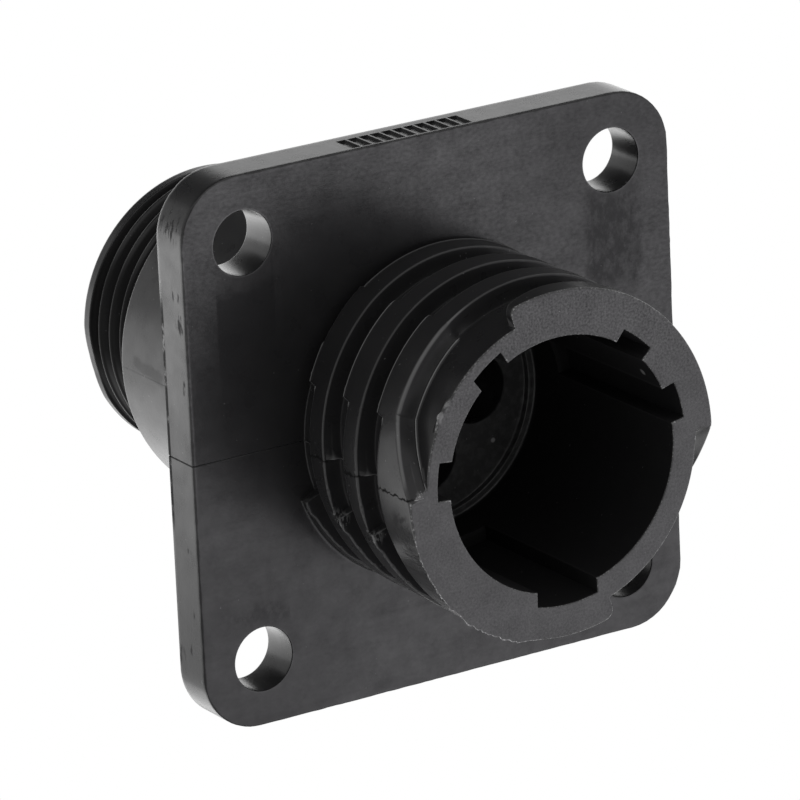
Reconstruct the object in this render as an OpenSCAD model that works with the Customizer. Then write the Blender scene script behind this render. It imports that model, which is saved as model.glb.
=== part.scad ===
// Circular panel mount connector: the empty receptacle housing, moulded in one piece.
// In front of the square flange is a keyed socket inside a barrel with a coarse two-start
// coupling thread. Behind it is a plain body that ends in a fine thread for a cable clamp.
// The connector's axis lies along Y and the mating side faces -Y. The origin is the centre
// of the flange's rear face, which seats on the panel.

/* [Flange] */
// Distance between the mounting holes, the same both ways
hole_spacing = 18.26; // [17:0.02:26]
// Diameter of a mounting hole
hole_d = 2.8; // [1.6:0.1:4]
// Distance from a mounting hole's centre to the flange's edges
hole_edge = 2.92; // [2.4:0.02:6]
// Radius of the flange's corners
corner_r = 2.65; // [0.5:0.05:5]
// Thickness of the flange
flange_t = 2; // [1.2:0.1:4]

/* [Contact cavities] */
// Number of contact cavities, evenly round the axis
cavity_count = 4; // [3:1:6]
// Diameter of a contact cavity
cavity_d = 3; // [1.6:0.1:4]
// Wall between neighbouring contact cavities
cavity_wall = 0.64; // [0.3:0.02:1.5]

/* [Socket] */
// Length of the barrel in front of the flange
barrel_len = 9.5; // [6:0.1:16]
// Depth of the socket's floor behind the flange's front face
floor_sink = 1.2; // [0.2:0.1:3]
// Width of the floor between the contact cavities and the socket's wall
floor_margin = 1.42; // [0.8:0.02:3]
// Width of the raised ledge round the floor
ledge_w = 0.35; // [0.2:0.05:0.6]
// Height of the raised ledge above the floor
ledge_h = 0.3; // [0.1:0.05:1]
// Depth of the keyways in the socket's wall
key_depth = 0.6; // [0.3:0.05:1.5]
// Distance from the socket's floor to the keyways' inner ends
key_stop = 2.2; // [0.5:0.1:4]
// Width of the wide keyway at the bottom
master_key_w = 2.95; // [1:0.05:4]
// Width of a narrow keyway
key_w = 1.62; // [0.6:0.02:2]
// Angles of the narrow keyways, from the wide one
key_angles = [105, 140, 215, 265]; // [0:1:360]

/* [Coupling thread] */
// Number of the thread's starts
starts = 2; // [1:1:3]
// Width of a thread ridge at its crest, along the axis
crest_w = 1.42; // [0.6:0.02:2.5]
// Width of the groove between two ridges, along the axis
groove_w = 1.25; // [0.6:0.05:3]
// Height of the ridges
ridge_h = 0.83; // [0.3:0.01:1.5]
// Wall of the barrel between the keyways and the groove
barrel_wall = 0.52; // [0.3:0.02:2]
// Angle at which the first ridge ends bluntly at the rim
ridge_end = 108; // [0:4.5:180]
// Angle over which a ridge reaches the rim at full width
land_angle = 107; // [40:1:120]
// Angle over which a ridge widens up to the rim
ramp_angle = 26; // [10:1:40]
// Angle over which the rear of a ridge is cut back towards its blunt end
lead_in_angle = 22; // [5:1:40]
// Depth of that cut at the blunt end
lead_in = 0.45; // [0:0.05:0.8]
// Chamfer of the crest at the blunt end
end_chamfer = 0.4; // [0:0.05:0.6]
// Angle beside the mould's parting line where the ridges are narrowed
relief_angle = 22.5; // [9:4.5:31.5]

/* [Wiring end] */
// Length of the plain body behind the flange
body_len = 11.9; // [6:0.1:24]
// Step from the plain body down to the fine thread
shoulder = 1.1; // [0.4:0.05:3]
// Length of the threaded tail
tail_len = 4.9; // [3:0.1:12]
// Pitch of the fine thread
tail_pitch = 0.907; // [0.7:0.001:1.5]
// Angle at which the fine thread leaves the lip
tail_start = 270; // [0:5:360]
// Depth of the fine thread
tail_thread_h = 0.55; // [0.3:0.01:0.9]
// Width of the plain lip at the tail's end
lip_w = 0.6; // [0.3:0.05:1.5]
// Height of the lip above the fine thread's crests
lip_h = 0.05; // [0.03:0.01:0.3]
// Distance from the lip to the middle of the fine thread's first crest
lip_gap = 0.12; // [0:0.01:0.4]
// Wall between the recess and the fine thread's root
tail_wall = 1.1; // [0.5:0.05:3]
// Width of the recess's floor between the contact cavities and its wall
recess_margin = 0.63; // [0.3:0.01:2]
// Depth of the recess in the tail's end
recess_depth = 5; // [2:0.1:9]

/* [Hidden] */

moulded_black = [0.10, 0.10, 0.11];
// Cutters run this far past the face that they open
spare = 1;
// Angle between two sections of a thread ridge
ridge_step = 4.5;
tail_step = 7.5;
// Depth to which a ridge is rooted in what carries it
root_sink = barrel_wall / 2;
tail_root_sink = 0.05;
// Half widths of the fine thread's ridge at its foot and at its crest
tail_foot = 0.49 * tail_pitch;
tail_crest = tail_pitch / 16;

flange_w = hole_spacing + 2 * hole_edge;
cavity_circle_d = (cavity_d + cavity_wall) / sin(180 / cavity_count);

// The socket is sized from the contact cavities outwards, to the crests of its thread
socket_d = cavity_circle_d + cavity_d + 2 * floor_margin;
key_circle_d = socket_d + 2 * key_depth;
barrel_d = key_circle_d + 2 * barrel_wall;
crest_d = barrel_d + 2 * ridge_h;
rim_z = flange_t + barrel_len;
floor_z = flange_t - floor_sink;

lead = starts * (crest_w + groove_w);
// The ridge's front edge would pass the rim by this much at its blunt end
rim_overrun = 0.2;
flange_sink = flange_t / 4;

// The wiring end is sized from the contact cavities outwards too
recess_d = cavity_circle_d + cavity_d + 2 * recess_margin;
tail_root_d = recess_d + 2 * tail_wall;
tail_d = tail_root_d + 2 * tail_thread_h;
body_d = tail_d + 2 * shoulder;
tail_end_z = -body_len - tail_len;
recess_floor_z = tail_end_z + recess_depth;

$fn = 96;

// Point at a radius, an angle round the axis and a height along it
function polar(r, a, z) = [r * cos(a), r * sin(a), z];

// Height of a coupling ridge's front edge, turn degrees before its blunt end at angle 0
function helix(turn) = rim_z + rim_overrun + lead * turn / 360;

// The front edge is level just past the parting line, and runs up to the rim near the end
function ridge_front(turn, angle) =
    let (past_line = angle - 180 * floor(angle / 180))
    let (plain = past_line < relief_angle ? helix(turn - past_line) : helix(turn))
    let (kink = -land_angle - ramp_angle)
    let (ramp = helix(kink) + (rim_z - helix(kink)) * (turn - kink) / ramp_angle)
    turn < kink ? plain : min(max(plain, ramp), rim_z + spare);

// The rear edge is level just before the parting line, starts inside the flange, and is
// cut back in a curve towards the blunt end
function ridge_rear(turn, angle) =
    let (to_line = 180 * ceil(angle / 180) - angle)
    let (plain = to_line < relief_angle ? helix(turn + to_line) : helix(turn))
    let (into_lead = max(0, 1 + turn / lead_in_angle))
    max(plain - crest_w, flange_t - flange_sink) + lead_in * into_lead ^ 2;

// Triangles of a tube swept through sections of four points each
function sweep_faces(last) = concat(
    [[0, 2, 1], [0, 3, 2]],
    [for (i = [0 : last - 1], side = [0 : 3], half = [0, 1])
        let (p = 4 * i + side)
        let (q = 4 * i + (side + 1) % 4)
        half == 0 ? [p, q, p + 4] : [q, q + 4, p + 4]],
    [[4 * last, 4 * last + 1, 4 * last + 2], [4 * last, 4 * last + 2, 4 * last + 3]]
);

// One ridge of the coupling thread, from inside the flange to its blunt end
module coupling_ridge(end_angle) {
    inner = barrel_d / 2 - root_sink;
    first_turn = -360 * (barrel_len + rim_overrun + flange_sink / 2) / lead;
    last = ceil(-first_turn / ridge_step);
    points = [for (i = [0 : last])
        let (turn = (i - last) * ridge_step)
        let (angle = end_angle + turn)
        let (outer = crest_d / 2 - (i == last ? end_chamfer : 0))
        let (rear = ridge_rear(turn, angle))
        let (front = ridge_front(turn, angle))
        each [polar(inner, angle, rear), polar(outer, angle, rear),
              polar(outer, angle, front), polar(inner, angle, front)]];
    polyhedron(points, sweep_faces(last), convexity = 8);
}

// The fine thread's ridge, from inside the body to inside the lip
module tail_ridge() {
    inner = tail_root_d / 2 - tail_root_sink;
    outer = tail_d / 2;
    top_z = -body_len + tail_pitch / 2;
    bottom_z = tail_end_z + max(lip_w + lip_gap, tail_foot + tail_root_sink);
    last = floor(360 * (top_z - bottom_z) / tail_pitch / tail_step);
    points = [for (i = [0 : last])
        let (angle = tail_start + i * tail_step)
        let (z = bottom_z + tail_pitch * i * tail_step / 360)
        each [polar(inner, angle, z - tail_foot), polar(outer, angle, z - tail_crest),
              polar(outer, angle, z + tail_crest), polar(inner, angle, z + tail_foot)]];
    polyhedron(points, sweep_faces(last), convexity = 8);
}

module flange_plate() {
    inset = flange_w / 2 - corner_r;
    linear_extrude(flange_t)
        union() {
            square([flange_w, 2 * inset], center = true);
            square([2 * inset, flange_w], center = true);
            for (x = [-inset, inset], y = [-inset, inset])
                translate([x, y]) circle(corner_r);
        }
}

module mounting_holes() {
    for (x = [-1, 1], y = [-1, 1])
        translate([x * hole_spacing / 2, y * hole_spacing / 2, -spare])
            cylinder(d = hole_d, h = flange_t + 2 * spare);
}

// A keyway has parallel sides and a round outer wall
module keyway(angle, width) {
    key_z = floor_z + key_stop;
    key_len = rim_z + spare - key_z;
    intersection() {
        translate([0, 0, key_z]) cylinder(d = key_circle_d, h = key_len);
        rotate([0, 0, angle])
            translate([socket_d / 4, -width / 2, key_z - spare])
                cube([key_circle_d / 2, width, key_len + 2 * spare]);
    }
}

module socket() {
    ledge_z = floor_z + ledge_h;
    translate([0, 0, ledge_z]) cylinder(d = socket_d, h = rim_z - ledge_z + spare);
    translate([0, 0, floor_z]) cylinder(d = socket_d - 2 * ledge_w, h = ledge_h + spare);
    master_angle = 270;
    keyway(master_angle, master_key_w);
    for (angle = key_angles) keyway(master_angle + angle, key_w);
}

module contact_cavities() {
    for (i = [0 : cavity_count - 1])
        rotate([0, 0, 90 + 360 * i / cavity_count])
            translate([cavity_circle_d / 2, 0, recess_floor_z - spare])
                cylinder(d = cavity_d, h = floor_z - recess_floor_z + 2 * spare);
}

module tail_recess() {
    translate([0, 0, tail_end_z - spare]) cylinder(d = recess_d, h = recess_depth + spare);
}

module threaded_barrel() {
    cylinder(d = barrel_d, h = rim_z + spare);
    for (i = [0 : starts - 1]) coupling_ridge(ridge_end + 360 * i / starts);
}

module wiring_end() {
    translate([0, 0, -body_len]) cylinder(d = body_d, h = body_len + flange_t / 2);
    translate([0, 0, tail_end_z]) cylinder(d = tail_root_d, h = tail_len + spare);
    translate([0, 0, tail_end_z]) cylinder(d = tail_d + 2 * lip_h, h = lip_w);
    tail_ridge();
}

module housing() {
    color(moulded_black)
        rotate([90, 0, 0])
            difference() {
                union() {
                    flange_plate();
                    threaded_barrel();
                    wiring_end();
                }
                translate([0, 0, rim_z]) cylinder(d = crest_d + 4 * spare, h = 3 * spare);
                mounting_holes();
                socket();
                contact_cavities();
                tail_recess();
            }
}

housing();
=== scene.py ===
# %% [markdown]
# # Circular panel mount connector
#
# The object is the empty housing of a panel receptacle: a square flange, a keyed socket inside
# a coarse coupling thread in front of it, and a plain body with a finely threaded tail behind.
# It is one moulding of black plastic, so the scene has one piece.
#
# The packed solid is loaded first. It is the frame: its box says how large the piece may be.

import bmesh
import bpy
import numpy as np
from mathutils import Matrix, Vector


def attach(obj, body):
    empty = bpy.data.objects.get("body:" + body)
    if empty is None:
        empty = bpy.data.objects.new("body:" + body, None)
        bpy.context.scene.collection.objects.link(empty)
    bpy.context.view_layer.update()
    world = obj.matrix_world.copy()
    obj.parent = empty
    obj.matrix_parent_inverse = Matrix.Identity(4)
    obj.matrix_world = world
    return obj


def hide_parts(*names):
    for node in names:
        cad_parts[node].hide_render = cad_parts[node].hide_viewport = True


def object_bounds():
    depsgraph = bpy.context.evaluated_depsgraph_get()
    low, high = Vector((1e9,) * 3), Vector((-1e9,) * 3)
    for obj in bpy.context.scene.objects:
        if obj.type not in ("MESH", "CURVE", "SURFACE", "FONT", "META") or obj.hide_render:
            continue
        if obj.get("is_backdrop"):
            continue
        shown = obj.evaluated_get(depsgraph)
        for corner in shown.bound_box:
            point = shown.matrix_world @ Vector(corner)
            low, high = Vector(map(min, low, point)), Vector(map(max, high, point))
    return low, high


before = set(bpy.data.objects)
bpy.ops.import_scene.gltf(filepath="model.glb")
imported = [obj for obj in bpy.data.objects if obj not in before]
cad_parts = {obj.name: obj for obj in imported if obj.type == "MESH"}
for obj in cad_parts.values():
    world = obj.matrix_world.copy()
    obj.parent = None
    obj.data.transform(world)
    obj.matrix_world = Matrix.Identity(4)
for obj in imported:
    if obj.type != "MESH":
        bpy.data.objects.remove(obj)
cad_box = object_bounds()
print("solid from", [round(v, 4) for v in cad_box[0]], "to", [round(v, 4) for v in cad_box[1]])

# %% [markdown]
# ## The camera
#
# A camera can be matched to a picture by eye, but then every size that is read off is a guess.
# Here its place, turn and focal length were solved: the flange's outline, its four holes and the
# rim of the socket have a known shape, and one camera puts them all where the picture has them.
# The long lens makes the perspective weak, as in most product pictures.

# %% Camera
PHOTO_PIXELS = 800
FOCAL_PIXELS = 7460.55
SENSOR_MM = 36
CAMERA_PLACE = (-0.157605, -0.255325, 0.099227)
CAMERA_TURN = (0.774854, 0.566896, -0.146488, -0.238267)

camera = bpy.data.objects.new("camera", bpy.data.cameras.new("camera"))
camera.data.sensor_width = SENSOR_MM
camera.data.lens = SENSOR_MM * FOCAL_PIXELS / PHOTO_PIXELS
camera.location = CAMERA_PLACE
camera.rotation_mode = "QUATERNION"
camera.rotation_quaternion = CAMERA_TURN
bpy.context.scene.collection.objects.link(camera)
bpy.context.scene.camera = camera
print("camera: lens", round(camera.data.lens, 1), "mm")

# %% [markdown]
# ## One skin for one moulding
#
# A moulding has no seams between its features, and every edge on it is a little round. It could
# be cut from cylinders with booleans and bevelled, but bevels break down where a thread runs
# into a flange. Here the whole outside is one grid instead. Its columns are angles round the
# axis. Its rows run from the middle of the socket's floor up to the rim, over it and down the
# thread, out over the flange, and along the body to the middle of the recess in the tail.
#
# All sizes are in millimetres, as on a drawing. Heights are measured along the axis, from the
# flange's rear face towards the mating side.

# %% Sizes
FLANGE_HALF, CORNER_R, FLANGE_T = 12.05, 2.65, 2.0
HOLE_SPACING, HOLE_R = 18.26, 1.4
HOLE_AT = HOLE_SPACING / 2
SOCKET_R, KEY_R, ROOT_R, CREST_R = 5.494, 6.094, 6.614, 7.444
FLOOR_R, FLOOR_Z, LEDGE_Z, KEY_Z, RIM_Z = 5.144, 0.8, 1.1, 3.0, 11.5
CAVITY_R, CAVITY_CIRCLE_R = 1.5, 2.574
BODY_R, BODY_END = 7.454, -11.7
TAIL_ROOT_R, TAIL_R, TAIL_END = 5.804, 6.354, -16.8
LIP_R, LIP_Z = 6.404, -16.2
RECESS_R, RECESS_Z = 4.704, -11.8
print("flange:", 2 * FLANGE_HALF, "mm square; length:", round(RIM_Z - TAIL_END, 1), "mm")

# %% [markdown]
# The columns stand 1.25 degrees apart, with more of them where the shape turns fast: at the
# blunt ends of the thread, at the sides of the keyways, along the mould's parting line and where
# the rim is ragged. The grid starts and ends at a blunt end. An end wall of a ridge has two
# columns at one angle: one on the ridge and one past it. Angles are in degrees, counted from the
# right upwards as seen from the mating side.

# %% Columns of the grid
BLUNT = 108.0
RELIEF, FRONT_RELIEF = 22.5, 20.0
INSERT = 121.5
FLASH_STRETCH, LIP_STRETCH = (145, 160), (181, 250)
KEYWAYS = [(270, 2.95), (15, 1.62), (50, 1.62), (125, 1.62), (175, 1.62)]
EVEN_COLUMNS, RAGGED_STEP = 288, 0.85
COLUMN_GAP, KEY_MARGIN = 0.45, 1.0


def off_angle(turn, middle):
    """Degrees between two angles, the short way round."""
    return np.abs((turn - middle + 180) % 360 - 180)


def side_angle(width, radius):
    """Degrees from a keyway's middle to its side: the sine is half the width over the radius."""
    return np.degrees(np.arcsin(width / 2 / radius))


def key_corners(middle, width):
    """Angles of a keyway's four corners, on the socket's wall and at the keyway's bottom."""
    half = side_angle(width, np.array([SOCKET_R, KEY_R]))
    return middle + np.concatenate([half, -half])


def grid_columns():
    """Angles in degrees: even ones, but for those close to an angle where the shape turns.

    None stands just past a keyway's corner, where the rounded rim needs the room.
    """
    ends = np.array([BLUNT + 180, BLUNT + 360])
    line = np.array([180, 360])
    level_ends = np.concatenate([line - RELIEF, line + FRONT_RELIEF])
    ragged = [np.arange(*stretch, RAGGED_STEP) for stretch in (FLASH_STRETCH, LIP_STRETCH)]
    special = np.concatenate([
        [BLUNT],
        np.subtract.outer(ends, [0, 0.25, 0.6, 1.1, 1.8, 2.6, 3.5]).ravel(),
        np.add.outer(line, [-0.6, -0.2, 0, 0.2, 0.6]).ravel(),
        np.add.outer(line - 180 + INSERT, [-0.3, 0.1]).ravel(),
        np.add.outer(level_ends, [-2.4, -1.2, -0.6, 0.6, 1.2, 2.4]).ravel(),
        *[key_corners(*key) for key in KEYWAYS],
        *ragged,
    ])
    special = np.unique(np.round((special - BLUNT - 1e-9) % 360 + BLUNT, 5))
    special = np.union1d(special, [BLUNT])
    even = np.linspace(BLUNT, BLUNT + 360, EVEN_COLUMNS + 1)
    apart = np.abs(np.subtract.outer(even, special)).min(1)
    found = np.sort(np.concatenate([special, even[apart > COLUMN_GAP], ends]))
    for middle, width in KEYWAYS:
        past = off_angle(found, middle) - side_angle(width, SOCKET_R)
        found = found[(past < 0.01) | (past > KEY_MARGIN)]
    return found


angles = grid_columns()
past_end = np.concatenate([[True], np.diff(angles) == 0])
on_line = np.isclose(angles % 180, 0)
on_left_line = np.isclose(angles % 360, 180)
turn_x, turn_y = np.cos(np.radians(angles)), np.sin(np.radians(angles))
print("columns:", len(angles))

# %% [markdown]
# A row is a ring round the axis whose radius and height may change from column to column. A
# rounded edge or a fillet is a few rows along an arc. One more row close before and after it
# keeps the flat faces beside it flat in the shading, as a holding edge does under a bevel.

# %% Rings and arcs
QUARTER = np.radians([0, 30, 60, 90])


def ring(radius, height):
    """One row of the grid from a radius and a height, each one number or one per column.

    A point is (radius times cosine, minus the height, radius times sine).
    """
    radius = np.broadcast_to(radius, angles.shape)
    return np.stack([radius * turn_x, np.broadcast_to(-height, angles.shape), radius * turn_y], 1)


def arc(radius, height, size, start, stop, count=4):
    """Rows along an arc of the given size about a centre, from one angle to another.

    The radius grows by the size times the angle's cosine, and the height by the size times its
    sine. The angle is 0 straight outwards and 90 towards the mating side.
    """
    turns = np.radians(np.linspace(start, stop, count))
    return [ring(radius + size * np.cos(t), height + size * np.sin(t)) for t in turns]


print("rows of a rounding:", len(QUARTER))

# %% [markdown]
# A moulding that was trimmed by hand has edges that aren't quite even. A displacement by noise
# would roughen the faces beside them too. Two helpers change only the edge instead: one gives
# each column a random value that changes every degree or so, and the other says where round the
# axis something is.

# %% Uneven edges
chance = np.random.default_rng(5)


def uneven(step):
    """Random values from 0 to 1 per column, with straight lines between knots a step apart."""
    knots = np.arange(0, 360, step)
    return np.interp(angles % 360, knots, chance.uniform(0, 1, len(knots)), period=360)


def between(low, high, soft=1.5):
    """1 from one angle to the other and 0 elsewhere, with ends that rise over a few degrees."""
    turn = angles % 360
    return np.clip((turn - low) / soft + 0.5, 0, 1) * np.clip((high - turn) / soft + 0.5, 0, 1)


print("columns on the ragged rim:", int((between(*LIP_STRETCH) > 0.5).sum()))

# %% [markdown]
# ## The keyed socket
#
# The plug's nose goes into the socket, and five keyways let it in at one angle only. The socket
# could be cut with a boolean, but its rim would then need a bevel by hand. As rows of the grid,
# its wall is a circle with five wider places. A keyway has parallel sides, so at an angle d from
# its middle the wall lies at half its width over sin(d), held between the two radii. At the rim
# the edge is rounded along the outline's own normals, because a keyway's sides run almost
# straight towards the axis.

# %% Outline of the socket
def socket_outline():
    """Radius of the socket's wall per column."""
    radius = np.full(angles.shape, SOCKET_R)
    for middle, width in KEYWAYS:
        off = np.radians(np.minimum(off_angle(angles, middle), 90))
        wall = width / 2 / np.maximum(np.sin(off), 1e-6)
        radius = np.maximum(radius, np.clip(wall, SOCKET_R, KEY_R))
    return radius


def outline_normals(radius):
    """Outward normals of a closed outline, mitred at its corners, per column."""
    _, first, back = np.unique(np.round(angles % 360, 5), return_index=True, return_inverse=True)
    x, y = (radius * turn_x)[first], (radius * turn_y)[first]
    edge = np.stack([np.roll(x, -1) - x, np.roll(y, -1) - y], 1)
    edge /= np.linalg.norm(edge, axis=1, keepdims=True)
    after = np.stack([edge[:, 1], -edge[:, 0]], 1)
    before = np.roll(after, 1, axis=0)
    mitre = (after + before) / (1 + (after * before).sum(1, keepdims=True))
    return mitre[back]


key_wall = socket_outline()
key_normal = outline_normals(key_wall)
print("columns in keyways:", int((key_wall > SOCKET_R).sum()))

# %% Rows of the socket
SOCKET_EDGE, FLOOR_FILLET, LEDGE_FILLET = 0.05, 0.06, 0.1
LEDGE_EDGE = [(0, 0.07), (0.007, 0.025), (0.025, 0.007), (0.05, 0)]
FLAT_RADII = (0, 0.6, 2.5, 4.4)


def socket_rows():
    """From the floor's middle over the ledge and up the keyed wall to the rim."""
    rows = [ring(r, FLOOR_Z) for r in FLAT_RADII + (5.0,)]
    rows += arc(FLOOR_R - FLOOR_FILLET, FLOOR_Z + FLOOR_FILLET, FLOOR_FILLET, -90, 0)
    rows += [ring(FLOOR_R + out, LEDGE_Z - down) for out, down in LEDGE_EDGE]
    rows += [ring(SOCKET_R - LEDGE_FILLET - 0.02, LEDGE_Z)]
    rows += arc(SOCKET_R - LEDGE_FILLET, LEDGE_Z + LEDGE_FILLET, LEDGE_FILLET, -90, 0)
    rows += [ring(SOCKET_R, z) for z in (LEDGE_Z + 0.2, 2.0, KEY_Z - 0.05, KEY_Z)]
    rows += [ring(key_wall, z) for z in (KEY_Z, KEY_Z + 0.05, 5, 7, 9, 11)]
    rows += [ring(key_wall, RIM_Z - SOCKET_EDGE - 0.05)]
    for t in QUARTER:
        row = ring(key_wall, RIM_Z - SOCKET_EDGE * (1 - np.sin(t)))
        row[:, [0, 2]] += key_normal * SOCKET_EDGE * (1 - np.cos(t))
        rows.append(row)
    rim_face = ring(key_wall, RIM_Z)
    rim_face[:, [0, 2]] += key_normal * (SOCKET_EDGE + 0.04)
    return rows + [rim_face]


socket = socket_rows()
print("socket rows:", len(socket))

# %% [markdown]
# ## The coupling thread
#
# The plug's ring screws onto this thread. A thread could be a profile swept along a helix and
# joined to the barrel, but the join would leave slivers at the rim and the flange. Here the rows
# of the grid climb with the ridges. The thread has two starts, so at any angle the ridges follow
# each other by half a lead. Past its blunt end a ridge's rows all lie on the rim.
#
# Beside the parting line the mould has no undercut: the front edges are level just past it, and
# the rear edges just before it. Between the place where the mould's inserts meet and that level
# stretch the ridges have their full width. Elsewhere they are slimmer at the rear. On the side
# away from the parting line the whole thread lies a little further forward.

# %% Edges of the ridges
LEAD, CREST_W, RIM_OVERRUN = 5.34, 1.42, 0.2
LAND, RAMP = 107, 26
LEAD_IN_ANGLE, LEAD_IN = 22, 0.45
EASE_AT, EASE = [40, 75, 125], [0, 0.3, 0]
SLIM_AT = [0, 25, 60, INSERT, 180 - RELIEF, 180]
SLIM = [0.35, 0.42, 0.25, 0.25, 0.12, 0.35]
past_line, to_line = angles % 180, -angles % 180
in_insert = (past_line > INSERT - 0.01) & (past_line < 180 - RELIEF + 0.01)
ease = np.interp(past_line, EASE_AT, EASE)
slim = np.where(in_insert, 0, np.interp(past_line, SLIM_AT, SLIM))


def helix(turn):
    """Height of a front edge at a turn from its blunt end: the lead times the share of a turn."""
    return RIM_Z + RIM_OVERRUN + LEAD * turn / 360


def front_edge(turn):
    """The helix, level just past the parting line, and a ramp up to the rim near the end."""
    plain = helix(turn - np.where(past_line < FRONT_RELIEF, past_line, 0)) + ease
    kink = -LAND - RAMP
    ramp = helix(kink) + (RIM_Z - helix(kink)) * (turn - kink) / RAMP
    return np.where(turn < kink, plain, np.minimum(np.maximum(plain, ramp), RIM_Z))


def rear_edge(turn):
    """The helix a crest's width lower, level before the parting line, cut back at the end."""
    plain = helix(turn + np.where(to_line < RELIEF, to_line, 0)) - CREST_W + ease + slim
    return plain + LEAD_IN * np.maximum(0, 1 + turn / LEAD_IN_ANGLE) ** 2


print("thread: lead", LEAD, "mm, crests up to", CREST_W, "mm wide")

# %% [markdown]
# A ridge's section is a list of points: heights above the root, and places along the axis that
# hang on its front edge or its rear edge. The front flank leans a little where the mould was
# drawn off, most of all just before the parting line, and the ridge nearest the rim has a larger
# rounding there and a small bead at its foot. Burrs, nicks and the lip are added to single
# points of an edge, column by column.

# %% Section of a ridge
RIDGE_H, MID_R = CREST_R - ROOT_R, (ROOT_R + CREST_R) / 2
TAPER = 0.06
FRONT_ROUND, REAR_ROUND, END_ROUND = 0.08, 0.05, 0.42
FIRST_ROUND, RAGGED_ROUND = 0.06, 1.1
FOOT = [(0, 0.27), (0, 0.2), (0, 0.12), (0.03, 0.05), (0.11, 0.012)]
FOOT_BEAD, FOOT_BEAD_SHARES = 0.08, (0, 0, 1, 0.1, 0)
DRAFT_AT, DRAFT = [0, 165, 176, 180], [0.08, 0.08, 0.16, 0.25]
BURR_H, NICK_H, LIP_H, LIP_SHARES = 0.06, 0.1, 0.1, (1, 1, 0.8, 0.3)
NEAR_FLANGE, SLIVER, SUNK = 2.8, 0.15, 0.4
DRAWN_OFF, NICKED, CHIPPED = (INSERT, 181, 3), (199, 206.5), (154, 159.5)
RAGGED_LIP = [(193, 256, 8), (216, 256, 8)]
BURRED_LOW, BURRED = (55, INSERT), (INSERT, 155)
ragged_rim = uneven(1.1)
ragged_step = uneven(0.9)


def rounded(turns):
    """Points of an edge rounded to a radius of 1: (drop below the crest, distance from the edge)."""
    turns = np.radians(turns)
    return list(zip(1 - np.sin(turns), 1 - np.cos(turns)))


def ridge_top(turn, rear):
    """Height of a crest above the root: slightly tapered, and round towards the blunt end."""
    to_end = np.radians(np.maximum(-turn, 0)) * CREST_R
    short = np.maximum(END_ROUND - to_end, 0)
    drop = END_ROUND - np.sqrt(END_ROUND ** 2 - short ** 2)
    middle = (RIM_Z + FLANGE_T) / 2
    return RIDGE_H + TAPER * (rear - middle) / (RIM_Z - middle) - drop


def front_points(front, top):
    """Foot, flank and rounded edge at the front, with their draft, nicks and ragged lip."""
    drawn_off = between(*DRAWN_OFF)
    draft = drawn_off * np.interp(past_line, DRAFT_AT, DRAFT)
    first = drawn_off * (front > RIM_Z - LEAD / 2)
    size = FRONT_ROUND * (1 + RAGGED_ROUND * (ragged_rim - 0.4) * between(*LIP_STRETCH))
    size = size + FIRST_ROUND * first
    nick = NICK_H * between(*NICKED) * ragged_step * (front < RIM_Z - 1)
    lip = LIP_H * sum(between(*stretch) for stretch in RAGGED_LIP) * (0.4 + ragged_rim)
    lip = lip * (front == RIM_Z)
    points = [(rise + share * FOOT_BEAD * first, front + off + draft)
              for (rise, off), share in zip(FOOT, FOOT_BEAD_SHARES)]
    points += [(0.5 * RIDGE_H, front + 0.9 * draft), (top - size - 0.04 + lip, front)]
    for (down, off), share in zip(rounded([0, 30, 60, 90]), LIP_SHARES):
        points += [(top - down * size + nick + share * lip, front - off * size)]
    return points + [(top, front - size - 0.08)]


def rear_points(rear, top):
    """Rounded edge and foot at the rear, with burrs where the mould's inserts meet."""
    burr = BURR_H * np.where(rear < NEAR_FLANGE, between(*BURRED_LOW), between(*BURRED))
    burr = burr + NICK_H * between(*CHIPPED) * ragged_step
    points = [(top, rear + REAR_ROUND + 0.06)]
    for (down, off), share in zip(rounded([90, 45, 0]), (0, 1, 0)):
        points += [(top - down * REAR_ROUND + share * burr, rear + off * REAR_ROUND)]
    return points + [(rise, rear - off) for rise, off in FOOT[::-1]]


def ridge_section(turn, present):
    """Radii and heights of one ridge's rows, from its front foot to its rear foot."""
    front, rear = front_edge(turn), rear_edge(turn)
    front = np.where(front < FLANGE_T + SLIVER, FLANGE_T - SUNK, front)
    top = ridge_top(turn, rear)
    points = front_points(front, top) + rear_points(rear, top)
    rise = np.stack([np.broadcast_to(r, angles.shape) for r, _ in points])
    height = np.stack([z for _, z in points])
    return ROOT_R + rise * present, np.where(present, height, RIM_Z + 1)


print("ridge height:", round(RIDGE_H, 3), "mm")

# %% [markdown]
# The sections of all ridges follow each other down the barrel. What would stand past the rim or
# in the flange is cut off there. The rim has its own small rounding wherever a groove leaves room
# for it, and a stretch of it carries flash, plastic that crept between the mould's parts. On the
# parting line a crest is a little sunk and a groove holds a bead. The left line's crests stay
# whole, because there the line is a fine crack, which the material paints.

# %% Rows of the coupling thread
RIDGES = 7
RIM_EDGE, BAND = 0.07, 0.5
FLASH_H, FLASHED = 0.2, (144, 154.5, 4)
FLANGE_FILLET = 0.06
LINE_DEPTH, BEAD_H = 0.06, 0.07


def cut_rows(radius, height, low, high):
    """Holds rows of falling height between two heights.

    A row past a limit moves to the point where its column crosses that limit, so that all rows
    beyond it meet in one point.
    """
    column = np.arange(height.shape[1])

    def crossing(index, limit):
        """Radius at which each column crosses a height, on a straight line between two rows."""
        index = np.clip(index, 1, len(height) - 1)
        z0, z1 = height[index - 1, column], height[index, column]
        r0, r1 = radius[index - 1, column], radius[index, column]
        share = np.clip((z0 - limit) / np.where(z0 == z1, 1, z0 - z1), 0, 1)
        return r0 + share * (r1 - r0)

    over, under = height > high, height < low
    at_high = crossing(over.sum(0), high)
    at_low = crossing(len(height) - under.sum(0), low)
    radius = np.where(over, at_high, np.where(under, at_low, radius))
    return radius, np.clip(height, low, high)


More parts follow.
